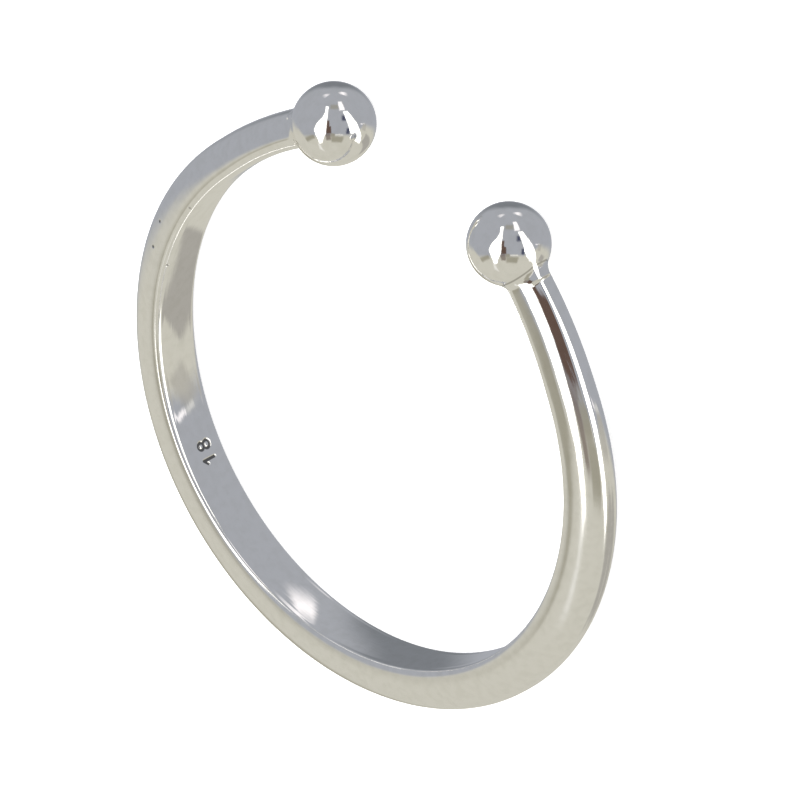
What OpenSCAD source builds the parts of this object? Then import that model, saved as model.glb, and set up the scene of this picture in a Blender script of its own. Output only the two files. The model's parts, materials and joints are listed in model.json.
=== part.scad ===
// Open finger ring in silver, with a ball on each end of the band.
// Units are millimetres. The origin is the centre of the finger hole, halfway through the band.
// The finger goes through along Z. The back of the band is at -Y, and the gap opens toward +Y.

/* [Ring size] */
// Inner circumference of the finger hole, which is the ring size
ring_size = 58; // [50:1:66]
// Angle at the finger's centre between the centres of the two balls
gap_angle = 46; // [36:1:60]

/* [Band] */
// Width along the finger at the back of the band
back_width = 1.95; // [1.7:0.05:2.6]
// Width halfway from the back to an end
side_width = 1.95; // [1.7:0.05:2.4]
// Width of the wire where it enters a ball
end_width = 1.55; // [1.3:0.05:1.8]
// Thickness at the back, from the finger hole to the crown
back_thickness = 1.76; // [1.5:0.02:2.2]
// Thickness halfway from the back to an end
side_thickness = 1.58; // [1.4:0.02:2]
// Thickness of the wire where it enters a ball
end_thickness = 1.5; // [1.3:0.02:1.8]
// Width of the flat inner wall at the back
back_flat = 1.7; // [1.2:0.05:1.7]
// Width of the flat inner wall halfway from the back to an end
side_flat = 1.05; // [0.8:0.05:1.4]
// Width of the flat inner wall where the wire enters a ball
end_flat = 0.25; // [0.2:0.05:0.6]
// Share of the thickness, from the finger hole, at which the back is widest
back_waist = 0.27; // [0.2:0.01:0.4]
// Share of the thickness at which the band is widest halfway to an end
side_waist = 0.22; // [0.18:0.01:0.4]

/* [Ends] */
// Diameter of each ball
ball_diameter = 2.92; // [2.6:0.02:3.4]
// How far each ball reaches inside the circle of the finger hole
ball_reach = 0.22; // [0.1:0.02:0.22]
// Share of the way from the back to an end at which the wire starts to lift off the finger
lift_start = 0.8; // [0.78:0.01:0.85]

/* [Solder] */
// How far the solder runs up the ball from the wire
solder_on_ball = 0.2; // [0.1:0.02:0.3]
// How far the solder runs along the wire from the ball
solder_on_wire = 0.24; // [0.1:0.02:0.4]
// How far the solder stands above the wire at its edge
solder_step = 0.04; // [0.03:0.01:0.08]

/* [Hidden] */
finger_r = ring_size / (2 * PI);
half_angle = (360 - gap_angle) / 2;
ball_r = ball_diameter / 2;
// Radius from the finger's centre to a ball's centre, which the wire's centre line also reaches
ball_centre_r = finger_r + ball_r - ball_reach;
end_lift = ball_centre_r - finger_r - end_thickness / 2;
// The blank is this much too tight inside, and the finger hole is bored out of it
bore_stock = 0.15;
// The flat of the blank starts this far inside the bored wall, so the bore cuts its flanks
flat_dip = 0.03;
end_waist = 0.5;
wire_r = (end_width + end_thickness) / 4;
stations = 96;
flank_points = 5;
dome_points = 8;
$fn = 96;

// A size at share a of the way from the back to an end, smooth through its three named values
function taper(back, side, end, a) =
    let (square = (16 * (side - back) - (end - back)) / 3)
    back + square * a ^ 2 + (end - back - square) * a ^ 4;

// How much of the lift the wire has at share a
function lift_share(a) = max(0, (a - lift_start) / (1 - lift_start)) ^ 1.5;

function centre_r(a) = finger_r + end_lift * lift_share(a)
    + taper(back_thickness, side_thickness, end_thickness, a) / 2;

function at_angle(r, angle) = [r * sin(angle), -r * cos(angle)];

// Half of the section as [height above the blank's inside, half width], from the flat to the crown
function half_section(a) =
    let (
        width = taper(back_width, side_width, end_width, a),
        thickness = taper(back_thickness, side_thickness, end_thickness, a),
        flat = taper(back_flat, side_flat, end_flat, a),
        waist = thickness * taper(back_waist, side_waist, end_waist, a),
        stock = bore_stock * (1 - lift_share(a)),
        start = max(0, stock - flat_dip)
    )
    concat(
        [[0, flat / 2 - 0.06]],
        [for (i = [0 : flank_points])
            let (turn = 90 * i / flank_points)
            [start + (stock - start + waist) * (1 - cos(turn)), flat / 2 + (width - flat) / 2 * sin(turn)]],
        [for (i = [1 : dome_points])
            let (turn = 90 * i / dome_points)
            [stock + waist + (thickness - waist) * sin(turn), width / 2 * cos(turn)]]
    );

// The whole section at share a, as points in space at the angle it lies at
function section(a, angle) =
    let (
        half = half_section(a),
        base = finger_r - bore_stock + (end_lift + bore_stock) * lift_share(a),
        last = len(half) - 1
    )
    concat(
        [for (p = half)
            let (xy = at_angle(base + p[0], angle))
            [xy[0], xy[1], p[1]]],
        [for (i = [last - 1 : -1 : 0])
            let (xy = at_angle(base + half[i][0], angle))
            [xy[0], xy[1], -half[i][1]]]
    );

// One length of D-shaped wire, bent round the finger and drawn down to round wire at both ends
module band_blank() {
    rings = [for (i = [0 : stations])
        let (u = 2 * i / stations - 1)
        section(abs(u), u * half_angle)];
    count = len(rings[0]);
    points = [for (ring_points = rings) each ring_points];
    skin = [for (i = [0 : stations - 1]) for (j = [0 : count - 1])
        let (
            k = (j + 1) % count,
            p = i * count + j,
            q = i * count + k
        )
        each [[p, q + count, q], [p, p + count, q + count]]];
    caps = [
        [for (j = [0 : count - 1]) j],
        [for (j = [count - 1 : -1 : 0]) stations * count + j]
    ];
    polyhedron(points = points, faces = concat(skin, caps), convexity = 6);
}

module band() {
    color("silver")
    difference() {
        band_blank();
        cylinder(r = finger_r, h = 10, center = true);
    }
}

// Puts what follows at the centre of a ball, with its Z along the wire, away from the gap
module at_wire_end(side) {
    centre = at_angle(ball_centre_r, side * half_angle);
    before = at_angle(centre_r(0.97), side * 0.97 * half_angle);
    way = before - centre;
    translate(centre)
    rotate([0, 0, atan2(way[1], way[0])])
    rotate([0, 90, 0])
    children();
}

// side is -1 or 1
module ball_end(side) {
    color("silver")
    at_wire_end(side)
    sphere(r = ball_r);
}

// The concave ring of solder between a ball and its wire
module solder_ring(side) {
    meets = sqrt(ball_r ^ 2 - wire_r ^ 2);
    on_ball_r = wire_r + solder_on_ball;
    on_ball = [on_ball_r, sqrt(ball_r ^ 2 - on_ball_r ^ 2)];
    corner = [wire_r + solder_step, meets];
    on_wire = [wire_r + solder_step, meets + solder_on_wire];
    curve = [for (i = [0 : 5])
        let (t = i / 5)
        (1 - t) ^ 2 * on_ball + 2 * t * (1 - t) * corner + t ^ 2 * on_wire];
    color("silver")
    at_wire_end(side)
    rotate_extrude()
    polygon(concat(
        [[0, 0], on_ball * 0.94],
        curve,
        [[wire_r / 2, meets + solder_on_wire + 0.06], [0, meets + solder_on_wire + 0.06]]
    ));
}

module ring() {
    union() {
        band();
        for (side = [-1, 1]) {
            ball_end(side);
            solder_ring(side);
        }
    }
}

ring();
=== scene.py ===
import json
import math

import bpy
import numpy as np
from mathutils import Matrix, Vector


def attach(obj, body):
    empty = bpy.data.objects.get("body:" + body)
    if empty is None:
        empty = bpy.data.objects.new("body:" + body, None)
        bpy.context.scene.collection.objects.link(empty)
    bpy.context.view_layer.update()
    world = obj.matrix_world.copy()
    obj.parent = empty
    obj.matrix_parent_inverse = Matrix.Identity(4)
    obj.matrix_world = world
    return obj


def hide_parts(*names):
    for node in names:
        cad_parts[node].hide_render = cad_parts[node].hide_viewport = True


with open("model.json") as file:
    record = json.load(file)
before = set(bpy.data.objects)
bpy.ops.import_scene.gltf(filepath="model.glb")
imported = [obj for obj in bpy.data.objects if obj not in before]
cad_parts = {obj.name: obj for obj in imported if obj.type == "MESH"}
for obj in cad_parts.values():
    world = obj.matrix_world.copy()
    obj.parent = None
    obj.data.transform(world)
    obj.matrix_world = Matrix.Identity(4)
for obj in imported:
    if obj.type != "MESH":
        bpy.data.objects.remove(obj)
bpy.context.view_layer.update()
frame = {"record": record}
mm = 0.001

# The camera looks down on the lying ring from beyond the gap, through a long lens, and is rolled
# on its side, so that the gap opens toward the picture's upper right.
camera_azimuth = math.radians(141.44)
camera_elevation = math.radians(40.52)
camera_roll = math.radians(-117.88)
camera_distance = 1000 * mm
picture_px = 800
px_per_mm = 29.352
ring_centre_px = (376.4, 408.0)
sensor = 36
toward_camera = Vector((
    math.sin(camera_azimuth) * math.cos(camera_elevation),
    -math.cos(camera_azimuth) * math.cos(camera_elevation),
    math.sin(camera_elevation),
))
level = Vector((math.cos(camera_azimuth), math.sin(camera_azimuth), 0))
steep = toward_camera.cross(level)
picture_right = level * math.cos(camera_roll) + steep * math.sin(camera_roll)
picture_up = toward_camera.cross(picture_right)
camera_data = bpy.data.cameras.new("camera")
camera_data.sensor_width = sensor
camera_data.lens = sensor * camera_distance / (picture_px / px_per_mm * mm)
camera_data.clip_start = camera_distance / 10
camera_data.clip_end = camera_distance * 10
camera = bpy.data.objects.new("camera", camera_data)
off_right = (picture_px / 2 - ring_centre_px[0]) / px_per_mm * mm
off_up = (ring_centre_px[1] - picture_px / 2) / px_per_mm * mm
camera.location = toward_camera * camera_distance + picture_right * off_right + picture_up * off_up
camera.rotation_mode = "QUATERNION"
turned = Matrix((picture_right, picture_up, toward_camera)).transposed()
camera.rotation_quaternion = turned.to_quaternion()
bpy.context.scene.collection.objects.link(camera)
bpy.context.scene.camera = camera
bpy.context.scene.view_settings.view_transform = "Standard"


# The studio is a pale room, cool above and warm below, with a tall window on each side of the
# camera. It is laid out by the angle at which the ring sees each thing: azimuth to the camera's
# right, and elevation above the line to the camera, in degrees.
class Shade:
    """A value, colour or vector in a shader. Operators on values add the Math nodes they need."""

    def __init__(self, tree, socket):
        self.tree = tree
        self.socket = socket

    def node(self, kind, settings=None, inputs=None, output=0):
        """Adds any node: first its settings, then the values or links of its sockets."""
        added = self.tree.nodes.new(kind)
        for name, value in (settings or {}).items():
            setattr(added, name, value)
        for name, value in (inputs or {}).items():
            if isinstance(value, Shade):
                self.tree.links.new(value.socket, added.inputs[name])
            else:
                added.inputs[name].default_value = value
        return Shade(self.tree, added.outputs[output])

    def math(self, operation, first, second=0.0):
        """Adds one Math node."""
        return self.node("ShaderNodeMath", {"operation": operation}, {0: first, 1: second})

    def __add__(self, other):
        return self.math("ADD", self, other)

    def __sub__(self, other):
        return self.math("SUBTRACT", self, other)

    def __mul__(self, other):
        return self.math("MULTIPLY", self, other)

    def __rsub__(self, other):
        return self.math("SUBTRACT", other, self)

    __radd__ = __add__
    __rmul__ = __mul__

    def __abs__(self):
        return self.math("ABSOLUTE", self)

    def dot(self, direction):
        """How far a vector goes along a fixed direction."""
        return self.node("ShaderNodeVectorMath", {"operation": "DOT_PRODUCT"}, {0: self, 1: direction}, 1)

    def far_from(self, point):
        """The distance from a fixed point."""
        return self.node("ShaderNodeVectorMath", {"operation": "DISTANCE"}, {0: self, 1: point}, 1)

    def rise(self, start, end):
        """0 up to start and 1 from end, with a smooth step between them."""
        limits = {"From Min": start, "From Max": end, "Value": self}
        return self.node("ShaderNodeMapRange", {"interpolation_type": "SMOOTHSTEP"}, limits)

    def between(self, low, high, soft):
        """1 from low to high and 0 outside, with both edges spread over soft."""
        half = soft / 2
        return self.rise(low - half, low + half) * (1 - self.rise(high - half, high + half))

    def blend(self, first, second):
        """From the first colour to the second, as this value goes from 0 to 1."""
        return self.node("ShaderNodeMix", {"data_type": "RGBA"}, {0: self, 6: first, 7: second}, 2)

    def mix(self, other, share):
        """This colour with a share of another."""
        return share.blend(self, other)

    def along(self, rows):
        """A value that follows rows of place and value, with straight lines between them."""
        low, high = rows[0][0], rows[-1][0]
        least = min(value for place, value in rows)
        span = max(value for place, value in rows) - least
        share = (self - low) * (1 / (high - low))
        found = share.node("ShaderNodeValToRGB", None, {0: share})
        ramp = found.socket.node.color_ramp
        while len(ramp.elements) < len(rows):
            ramp.elements.new(1)
        for element, (place, value) in zip(ramp.elements, rows):
            element.position = (place - low) / (high - low)
            element.color = [(value - least) / span] * 3 + [1]
        return found * span + least


def shown(red, green, blue, strength=1.0):
    """The light behind a colour that a picture shows, each channel from 0 to 255."""
    channels = [c / 255 for c in (red, green, blue)]
    linear = [c / 12.92 if c <= 0.04045 else ((c + 0.055) / 1.055) ** 2.4 for c in channels]
    return (*(c * strength for c in linear), 1)


world = bpy.data.worlds.new("studio")
bpy.context.scene.world = world
world.use_nodes = True
world.node_tree.nodes.clear()
coordinates = world.node_tree.nodes.new("ShaderNodeTexCoord")
way = Shade(world.node_tree, coordinates.outputs["Generated"])
azimuth = way.math("ARCTAN2", way.dot(picture_right), way.dot(toward_camera)) * math.degrees(1)
elevation = way.math("ARCSINE", way.dot(picture_up)) * math.degrees(1)

upper_wall = shown(167, 170, 177)
lower_wall = shown(203, 201, 190)
dark_back = shown(124, 128, 134)
olive_shade = shown(148, 144, 128)
grey_shade = shown(160, 157, 152)
brown_shade = shown(98, 80, 72)
blue_shade = shown(76, 80, 100)
bright_ledge = shown(228, 226, 220)
soft_glow = shown(240, 239, 234)
glow = shown(250, 246, 248, 1.3)
window_light = shown(255, 254, 250, 2.2)


def patch(left, right, low, high, soft):
    """A thing in the room, from left to right and from low to high, with edges soft degrees wide."""
    return azimuth.between(left, right, soft) * elevation.between(low, high, soft)


def furnished(room, things):
    """The room with things in front of it, each in front of the one before."""
    for colour, left, right, low, high, soft, strength in things:
        room = room.mix(colour, patch(left, right, low, high, soft) * strength)
    return room


def window(rows, soft):
    """A tall light. Its rows run from the bottom up: elevation, azimuth of the left and right edge."""
    left_edge = elevation.along([(height, left) for height, left, right in rows])
    right_edge = elevation.along([(height, right) for height, left, right in rows])
    from_left = (azimuth - left_edge).rise(-soft / 2, soft / 2)
    from_right = (right_edge - azimuth).rise(-soft / 2, soft / 2)
    return from_left * from_right * elevation.between(rows[0][0], rows[-1][0], soft)


# The line where the warm lower part meets the cool upper part, as rows of azimuth and elevation
horizon = azimuth.along([
    (-180, -3), (-140, 0), (-112, -8), (-96, -23), (-60, -30), (0, -32),
    (45, -30), (75, -15), (90, -2), (110, -5), (180, -6),
])
horizon_soft = 12
above = (elevation - horizon).rise(-horizon_soft / 2, horizon_soft / 2)
behind_ring = abs(azimuth).rise(138, 168) * elevation.between(20, 64, 24)
room = above.blend(lower_wall, upper_wall).mix(dark_back, behind_ring)

# The dark things and a ledge. The columns are colour, left, right, low and high edge, softness of
# the edges, and strength.
room = furnished(room, [
    (olive_shade, -9, 32, -52, -35, 8, 0.8),
    (olive_shade, -12, 16, 39, 52, 7, 0.6),
    (grey_shade, 104, 150, -33, -17, 4, 0.8),
    (grey_shade, 85, 98, -13, -1, 4, 0.5),
    (olive_shade, -174, -154, -24, -7, 8, 0.7),
    (olive_shade, -98, -62, -35, -26, 6, 0.8),
    (bright_ledge, 4, 28, -32, -29, 3, 1.0),
    (olive_shade, -10, 3, -36, -27, 4, 0.8),
    (brown_shade, -20, -12, -10, 8, 3, 1.0),
    (brown_shade, -22, -7, -27, -8, 3, 1.0),
    (brown_shade, -26, -10, -45, -27, 5, 0.7),
    (blue_shade, 22, 36, 7, 21, 8, 1.0),
    (blue_shade, 36, 46, -27, -12, 6, 1.0),
])

# The lights: a long soft one on the floor at the left, the two windows, and small ones in the same
# columns as the dark things
trail_height = azimuth.along([(-95, -66), (-75, -65), (-58, -50)])
off_trail = abs(elevation - trail_height).rise(3, 9)
room = room.mix(soft_glow, azimuth.between(-78, -58, 16) * (1 - off_trail) * 0.8)
window_soft = 4
left_window = window([
    (-50, -57, -45), (-38, -54, -34), (-28, -55, -25), (-14, -56, -21), (0, -47, -20),
    (15, -32, -18), (30, -25, -18), (46, -28, -18),
], window_soft)
right_window = window([
    (-38, 72, 100), (-30, 56, 94), (-18, 46, 80), (0, 38, 65), (15, 33, 52), (31, 28, 42),
], window_soft)
room = room.mix(window_light, left_window)
room = room.mix(window_light, right_window)
room = furnished(room, [
    (glow, 18, 35, 35, 60, 5, 1.0),
    (glow, 88, 122, 68, 78, 12, 0.9),
    (glow, 77, 84, -2, 0, 2, 0.8),
    (soft_glow, 85, 92, -1, 1, 2, 0.5),
    (glow, -92, -58, 70, 80, 8, 0.5),
])
light = room.node("ShaderNodeBackground", None, {"Color": room})
world_out = world.node_tree.nodes.new("ShaderNodeOutputWorld")
world.node_tree.links.new(light.socket, world_out.inputs["Surface"])

# The ring lies on a plain white table, under a broad ceiling light that leaves hardly a shadow. It
# touches the table with both balls, which are wider than the band, and with the back of the band,
# so the table slopes a little in the ring's own frame. Sizes are in millimetres from here on.
finger_r = frame["record"]["mounts"][0]["dims"]["r_mm"]
ball_outside_hole = 1.24
ball_centre_r = finger_r + ball_outside_hole
half_angle = math.radians(157)
ball_low = 1.46
back_low = 0.975
back_outside_hole = 0.45
back_touch_r = finger_r + back_outside_hole
table_slope = (ball_low - back_low) / (back_touch_r - ball_centre_r * math.cos(half_angle))
table_height = -(back_low + table_slope * back_touch_r) * mm
half_table = 1000 * mm
table_data = bpy.data.meshes.new("table")
corners = [(x * half_table, y * half_table) for x, y in ((-1, -1), (1, -1), (1, 1), (-1, 1))]
table_data.from_pydata([(x, y, table_height - table_slope * y) for x, y in corners], [], [(0, 1, 2, 3)])
table = bpy.data.objects.new("table", table_data)
bpy.context.scene.collection.objects.link(table)
table.visible_glossy = False
white = bpy.data.materials.new("white_table")
white.use_nodes = True
white_surface = white.node_tree.nodes["Principled BSDF"]
white_surface.inputs["Base Color"].default_value = (0.93, 0.93, 0.93, 1)
white_surface.inputs["Roughness"].default_value = 0.9
white_surface.inputs["Specular IOR Level"].default_value = 0.0
white_surface.inputs["Emission Color"].default_value = (1, 1, 1, 1)
white_surface.inputs["Emission Strength"].default_value = 0.6
table_data.materials.append(white)
ceiling_data = bpy.data.lights.new("ceiling", "AREA")
ceiling_data.shape = "DISK"
ceiling_data.size = 1600 * mm
ceiling_data.energy = 9
ceiling = bpy.data.objects.new("ceiling", ceiling_data)
ceiling.location = Vector((50, 100, 800)) * mm
ceiling.rotation_mode = "QUATERNION"
ceiling.rotation_quaternion = ceiling.location.to_track_quat("Z", "Y")
ceiling.visible_glossy = False
ceiling.visible_camera = False
bpy.context.scene.collection.objects.link(ceiling)

# The band is one length of silver, D-shaped in section: flat inside, where it lies on the finger,
# and domed outside, with a soft ridge where the dome was filed. Toward both ends it is drawn down to
# round wire and lifts off the finger.
back_width, side_width, end_width = 1.95, 1.95, 1.55
back_thickness, side_thickness, end_thickness = 1.76, 1.58, 1.5
lift_start = 0.8
end_lift = ball_centre_r - finger_r - end_thickness / 2
# The section's form. The columns are share of the way from the back to an end; half width of the
# wall before boring; how far boring cuts in; squareness of the corner, where 2 is round; height of
# the widest place; height of the ridge; turn from the widest place to the ridge, in degrees.
form_rows = np.array([
    (0.00, 0.80, 0.000, 4.5, 0.44, 0.03, 76),
    (0.13, 0.66, 0.000, 4.5, 0.42, 0.05, 76),
    (0.30, 0.54, 0.000, 4.5, 0.40, 0.09, 76),
    (0.50, 0.42, 0.002, 4.5, 0.38, 0.11, 77),
    (0.58, 0.32, 0.005, 4.2, 0.36, 0.10, 72),
    (0.66, 0.16, 0.010, 4.0, 0.36, 0.07, 66),
    (0.76, 0.00, 0.000, 3.4, 0.37, 0.04, 64),
    (0.86, 0.00, 0.000, 2.3, 0.40, 0.02, 62),
    (0.93, 0.00, 0.000, 2.0, 0.50, 0.02, 60),
    (1.00, 0.00, 0.000, 2.0, 0.66, 0.02, 70),
])
# The two arms were filed by hand and differ a little. The columns are share; thickness of the left
# arm, thickness of the right arm and width of the right arm, each as a share of the even size; how
# far the right arm lies inward; height of the crisp edge that the file left on the right arm.
arm_rows = np.array([
    (0.10, 1.00, 1.00, 1.00, 0.00, 0.000),
    (0.45, 1.00, 1.00, 0.98, 0.00, 0.000),
    (0.60, 1.00, 1.00, 0.94, 0.02, 0.004),
    (0.68, 1.00, 1.02, 0.93, 0.03, 0.055),
    (0.74, 0.98, 1.04, 0.92, 0.05, 0.078),
    (0.80, 0.96, 1.06, 0.91, 0.07, 0.084),
    (0.86, 0.93, 1.09, 0.91, 0.08, 0.078),
    (0.92, 0.91, 1.11, 0.91, 0.09, 0.066),
    (0.96, 0.94, 1.08, 0.93, 0.06, 0.060),
    (1.00, 0.98, 1.02, 0.97, 0.00, 0.040),
])
smoothing_reach = 0.05
smoothing_steps = 11
# The visual band is this much thinner than the even size, so that it stays inside the CAD box.
inside_box = 0.006
ridge_spread = math.radians(20)
edge_turn = math.radians(69)
edge_spread = math.radians(8.5)
edge_round = math.radians(1)
# How much the wall falls away from flat, for each square millimetre across.
wall_rounding = 0.07
fine_steps = 400
wall_steps = 40
# A section's points lie evenly along its outline, but closer on the wall, for the stamp, and where
# it turns, as if a radian were turn_length long.
points_round = 144
wall_extra = 2.5
wall_depth = 0.08
turn_length = 0.5


def taper(back, side, end, share):
    """A size at a share of the way from the back of the band to an end."""
    square = (16 * (side - back) - (end - back)) / 3
    return back + square * share**2 + (end - back - square) * share**4


def lift(share):
    """How much of its lift off the finger the wire has at a share."""
    return (max(0, share - lift_start) / (1 - lift_start)) ** 1.5


def smoothed(rows, share):
    """The values of a table at a share, with its corners softened, and even about the back."""
    near = abs(share + np.linspace(-smoothing_reach, smoothing_reach, smoothing_steps))
    return [np.interp(near, rows[:, 0], column).mean() for column in rows[:, 1:].T]


def half_section(side_share):
    """Half of the band's section, as rows of height and z, from the flat wall to the crown."""
    share = abs(side_share)
    wall, bored, square, waist, ridge, ridge_turn = smoothed(form_rows, share)
    left_thickness, right_thickness, right_width, inward, edge = smoothed(arm_rows, share)
    half_width = taper(back_width, side_width, end_width, share) / 2
    thickness = taper(back_thickness, side_thickness, end_thickness, share) - inside_box
    if side_share > 0:
        thickness *= right_thickness
        half_width *= right_width
    else:
        thickness *= left_thickness
        edge = inward = 0
    turn = np.linspace(0, math.pi / 2, fine_steps)

    # The flank, cut off where the bore meets it, and the wall from the middle to that corner
    flank = np.column_stack([
        (waist + bored) * (1 - np.cos(turn) ** (2 / square)) - bored,
        wall + (half_width - wall) * np.sin(turn) ** (2 / square),
    ])
    bore_edge = np.interp(0, flank[:, 0], flank[:, 1])
    flat = np.column_stack([np.zeros(wall_steps), np.linspace(0, bore_edge, wall_steps)])
    flat[:, 0] = wall_rounding * flat[:, 1] ** 2
    flank = flank[flank[:, 0] > 0]
    flank[:, 0] = flat[-1, 0] + flank[:, 0] * (1 - flat[-1, 0] / waist)

    # The dome, raised by the ridge and the file's edge, and brought back to its width and thickness
    dome = np.column_stack([waist + (thickness - waist) * np.sin(turn), half_width * np.cos(turn)])
    facing = np.column_stack([half_width * np.sin(turn), (thickness - waist) * np.cos(turn)])
    facing /= np.linalg.norm(facing, axis=1, keepdims=True)
    raised = ridge * np.exp(-(((turn - math.radians(ridge_turn)) / ridge_spread) ** 2) / 2)
    from_edge = turn - edge_turn
    raised += edge * np.exp((from_edge - np.hypot(from_edge, edge_round)) / 2 / edge_spread)
    dome += facing * raised[:, None]
    dome[:, 0] = waist + (dome[:, 0] - dome[0, 0]) * (thickness - waist) / (dome[:, 0].max() - dome[0, 0])
    dome[:, 1] *= half_width / dome[:, 1].max()

    path = np.concatenate([flat, flank, dome[1:]])
    steps = np.diff(path, axis=0)
    lengths = np.linalg.norm(steps, axis=1)
    heading = np.unwrap(np.arctan2(steps[:, 0], steps[:, 1]))
    turning = abs(np.diff(heading, prepend=heading[0]))
    on_wall = np.exp(-((path[1:, 0] / wall_depth) ** 2))
    cost = np.cumsum(lengths * (1 + wall_extra * on_wall) + turn_length * turning)
    cost = np.concatenate([[0], cost])
    places = np.linspace(0, cost[-1], points_round // 2 + 1)
    height, across = [np.interp(places, cost, path[:, k]) for k in (0, 1)]
    return np.column_stack([height - inward, across])


def band_loop(angle):
    """The band's whole section at an angle from the back, as points in space."""
    half = half_section(angle / half_angle)
    loop = np.concatenate([half, half[-2:0:-1] * (1, -1)])
    radius = finger_r + end_lift * lift(abs(angle) / half_angle) + loop[:, 0]
    return np.column_stack([radius * math.sin(angle), -radius * math.cos(angle), loop[:, 1]])


# A silver ball is soldered on each end of the band. The solder runs round the wire in a small
# hollow fillet and is polished to one surface with the ball and the wire.
ball_r = 1.4535
solder_start = 1.5
solder_crest = 0.024
solder_loops = 10
ball_loops = 52
wire_shares = np.linspace(0.88, 0.99, 45)
aim_share = 0.97
slope_length = 0.1


def end_loops(side):
    """The loops from the wire over the solder and round the ball, and the point they close on."""
    centre = np.array([side * ball_centre_r * math.sin(half_angle), -ball_centre_r * math.cos(half_angle), 0])
    last_wire = np.array([band_loop(side * share * half_angle) for share in wire_shares]) - centre
    middle = band_loop(side * aim_share * half_angle).mean(axis=0) - centre
    axis = middle / np.linalg.norm(middle)
    up = np.array([0, 0, 1.0])
    inward = np.cross(axis, up)
    reach = last_wire @ axis

    def wire_at(distance):
        """Where each line of the wire is this far from the ball's centre along its axis."""
        places = np.empty((points_round, 3))
        for j in range(points_round):
            for k in range(3):
                places[j, k] = np.interp(-distance, -reach[:, j], last_wire[:, j, k])
        return places

    wire = wire_at(solder_start)
    slope = wire - wire_at(solder_start + slope_length)
    slope /= np.linalg.norm(slope, axis=1, keepdims=True)
    crest_r = ball_r + solder_crest
    nearer = (wire * slope).sum(axis=1)
    to_crest = -nearer - np.sqrt(nearer**2 - (wire**2).sum(axis=1) + crest_r**2)
    crest = wire + slope * to_crest[:, None]
    off_axis = crest - (crest @ axis)[:, None] * axis
    turn = np.unwrap(np.arctan2(off_axis @ up, off_axis @ inward))
    whole_turn = math.copysign(2 * math.pi, turn[-1] - turn[0])
    even_turn = turn[0] + np.linspace(0, whole_turn, points_round, endpoint=False)
    start = np.arctan2(np.linalg.norm(off_axis, axis=1), crest @ axis) + math.acos(ball_r / crest_r)

    def on_ball(polar, turn):
        """Points on the ball, at an angle from its axis and a turn round it."""
        ring = np.outer(np.cos(turn), inward) + np.outer(np.sin(turn), up)
        return ball_r * (np.cos(polar)[:, None] * axis + np.sin(polar)[:, None] * ring)

    foot = on_ball(start, turn)
    made = []
    for t in np.arange(solder_loops) / solder_loops:
        made.append((1 - t) ** 2 * wire + 2 * t * (1 - t) * crest + t**2 * foot)
    for t in np.arange(ball_loops) / ball_loops:
        share = t * t * (3 - 2 * t)
        made.append(on_ball(start + (math.pi - start) * t, turn + (even_turn - turn) * share))
    return [loop + centre for loop in made], centre - ball_r * axis


# The band's own loops stop this far from the centre of a ball, and lie closest under the stamp.
band_stop = 1.62
last_angle = half_angle - band_stop / ball_centre_r
stamp_start, stamp_end = math.radians(-50.5), math.radians(-43.5)
loops_before, loops_under, loops_after = 145, 48, 260
angles = np.concatenate([
    np.linspace(-last_angle, stamp_start, loops_before, endpoint=False),
    np.linspace(stamp_start, stamp_end, loops_under, endpoint=False),
    np.linspace(stamp_end, last_angle, loops_after),
])
right_loops, right_pole = end_loops(1)
left_loops, left_pole = end_loops(-1)
loops = np.array(left_loops[::-1] + [band_loop(angle) for angle in angles] + right_loops)

# The inner wall is stamped with the finger hole's width in whole millimetres, as two plain digits
# cut by a punch. They stand across the band and read toward the left end.
stamp_depth = 0.03
stroke = 0.05
stroke_reach = 1.6
one_x = 0.03
one_half = 0.27
one_flag = (-0.11, 0.13)
eight_x = 0.53
eight_low, eight_low_r = -0.13, 0.14
eight_high, eight_high_r = 0.145, 0.125
first_digit = math.radians(-45.5)
digit_middle = -0.1
stamp_reach = 0.2
wall_reach = 0.1
loop_angle = np.arctan2(loops[:, :, 0], -loops[:, :, 1])
loop_radius = np.hypot(loops[:, :, 0], loops[:, :, 1])
reading = (first_digit - loop_angle) * finger_r
upright = loops[:, :, 2] - digit_middle


def from_line(start, end):
    """The distance of every point from a straight stroke."""
    along = (end[0] - start[0], end[1] - start[1])
    length = math.hypot(*along)
    share = ((reading - start[0]) * along[0] + (upright - start[1]) * along[1]) / length**2
    share = np.clip(share, 0, 1)
    return np.hypot(reading - start[0] - share * along[0], upright - start[1] - share * along[1])


def from_circle(middle, radius):
    """The distance of every point from a round stroke."""
    return abs(np.hypot(reading - middle[0], upright - middle[1]) - radius)


from_strokes = np.minimum.reduce([
    from_line((one_x, -one_half), (one_x, one_half)),
    from_line((one_x, one_half), one_flag),
    from_circle((eight_x, eight_low), eight_low_r),
    from_circle((eight_x, eight_high), eight_high_r),
])
cut = np.clip((stroke * stroke_reach - from_strokes) / stroke, 0, 1)
near_stamp = abs(loop_angle - first_digit) < stamp_reach
on_inner_wall = loop_radius < finger_r + wall_reach
cut *= near_stamp & on_inner_wall
cut = cut * cut * (3 - 2 * cut)
outward = 1 + stamp_depth * cut / loop_radius
loops[:, :, 0] *= outward
loops[:, :, 1] *= outward

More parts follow.
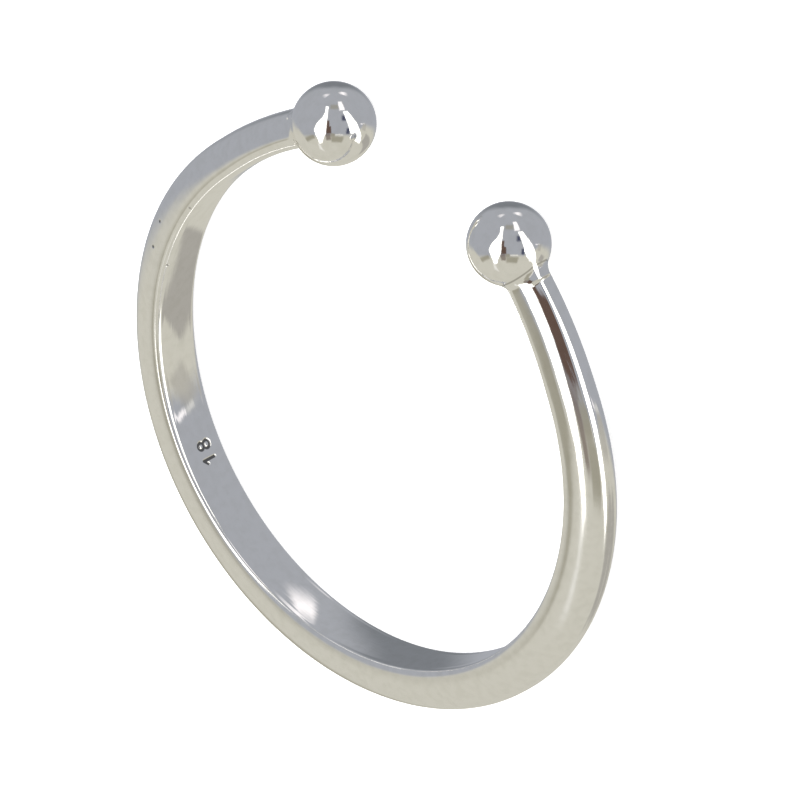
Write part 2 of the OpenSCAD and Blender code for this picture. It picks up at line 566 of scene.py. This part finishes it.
# The ring is closed into one skin, from the pole of the left ball to the pole of the right one.
points = np.concatenate([[left_pole], loops.reshape(-1, 3), [right_pole]]) * mm
faces = [(0, 1 + j, 1 + (j + 1) % points_round) for j in range(points_round)]
for row in range(len(loops) - 1):
    start = 1 + row * points_round
    for j in range(points_round):
        k = (j + 1) % points_round
        faces.append((start + j, start + points_round + j, start + points_round + k, start + k))
last = 1 + (len(loops) - 1) * points_round
faces += [(last + j, len(points) - 1, last + (j + 1) % points_round) for j in range(points_round)]
ring_data = bpy.data.meshes.new("silver_ring")
ring_data.from_pydata(points.tolist(), [], faces)
ring_data.validate()
stamped = ring_data.attributes.new("stamped", "FLOAT", "POINT")
stamped.data.foreach_set("value", np.concatenate([[0], cut.ravel(), [0]]))
ring_data.shade_smooth()
ring = bpy.data.objects.new("silver_ring", ring_data)
bpy.context.scene.collection.objects.link(ring)

# Sterling silver, polished to a mirror on the balls and the ends and worn softer toward the back,
# with fine scratches along the band, a few small pits and a dark line where the solder ends.
bright_silver = shown(251, 250, 248)
worn_silver = shown(246, 245, 242)
solder_tone = shown(150, 146, 140)
pit_tone = shown(96, 92, 86)
stamp_tone = shown(70, 68, 66)
polish_roughness = 0.05
worn_roughness = 0.11
mottle_roughness = 0.06
scratch_roughness = 0.04
silver = bpy.data.materials.new("polished_silver")
silver.use_nodes = True
surface = silver.node_tree.nodes["Principled BSDF"]
surface.inputs["Metallic"].default_value = 1.0
coordinates = silver.node_tree.nodes.new("ShaderNodeTexCoord")
place = Shade(silver.node_tree, coordinates.outputs["Object"])
place = place.node("ShaderNodeVectorMath", {"operation": "SCALE"}, {0: place, "Scale": 1 / mm})
across, toward_gap, height = place.dot((1, 0, 0)), place.dot((0, 1, 0)), place.dot((0, 0, 1))
round_angle = place.math("ARCTAN2", across, 0 - toward_gap)
radius = place.far_from((0, 0, 0))
from_axis = place.math("SQRT", across * across + toward_gap * toward_gap)
wall_end, flank_start = 0.04, 0.1
on_wall = 1 - from_axis.rise(finger_r + wall_end, finger_r + flank_start)
worn_until, polished_from = 1, 6.5
ends = toward_gap.rise(worn_until, polished_from)
worn = (1 - ends) * (1 - on_wall)


def noise(vector, scale, detail):
    """A soft random pattern from 0 to 1, around one half."""
    return vector.node("ShaderNodeTexNoise", None, {"Vector": vector, "Scale": scale, "Detail": detail})


# The scratches are noise drawn out along the band, so they need the place as angle, radius and z.
stretch = 0.12
stretched = {0: round_angle * finger_r * stretch, 1: radius, 2: height}
brushed = place.node("ShaderNodeCombineXYZ", None, stretched)
scratches = noise(brushed, scale=9.0, detail=4.0)
mottle = noise(place, scale=0.8, detail=3.0)
wear = noise(place, scale=3.0, detail=2.0)
mottled = worn * (mottle - 0.5) * mottle_roughness
scratched = (1 - ends) * (scratches - 0.5) * scratch_roughness
roughness = worn * worn_roughness + polish_roughness + mottled + scratched

pits = [(-9.96, 1.07, 0.90), (-8.74, 3.52, 0.87), (-9.30, 0.67, 0.81), (-9.93, 2.15, 0.84)]
pit_core, pit_edge = 0.02, 0.09
in_pits = [1 - place.far_from(pit).rise(pit_core, pit_edge) for pit in pits]
pitted = in_pits[0]
for in_pit in in_pits[1:]:
    pitted = pitted.math("MAXIMUM", pitted, in_pit)
ball_side = place.node("ShaderNodeCombineXYZ", None, {0: abs(across), 1: toward_gap, 2: height})
ball_centre = (ball_centre_r * math.sin(half_angle), -ball_centre_r * math.cos(half_angle), 0)
line_start, line_end, line_soft = 0.005, 0.022, 0.006
solder_line = ball_side.far_from(ball_centre).between(ball_r + line_start, ball_r + line_end, line_soft)
in_stamp = place.node("ShaderNodeAttribute", {"attribute_name": "stamped"}, None, 2)
wear_low, wear_high = 0.35, 0.75
stamp_rim, stamp_floor = 0.2, 0.9
solder_strength, pit_strength, stamp_strength = 0.6, 0.85, 0.85
colour = wear.rise(wear_low, wear_high).blend(bright_silver, worn_silver)
colour = colour.mix(solder_tone, solder_line * solder_strength)
colour = colour.mix(pit_tone, pitted * pit_strength)
colour = colour.mix(stamp_tone, in_stamp.rise(stamp_rim, stamp_floor) * stamp_strength)
scratch_relief, mottle_relief, pit_relief = 0.8, 2, 12
relief = scratches * scratch_relief + mottle * mottle_relief - pitted * pit_relief
relief_height = 0.003 * mm
bump = relief.node("ShaderNodeBump", None, {"Height": relief, "Distance": relief_height, "Strength": 0.6})
for name, value in (("Base Color", colour), ("Roughness", roughness), ("Normal", bump)):
    silver.node_tree.links.new(value.socket, surface.inputs[name])
ring_data.materials.append(silver)
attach(ring, "root")
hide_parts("ring")
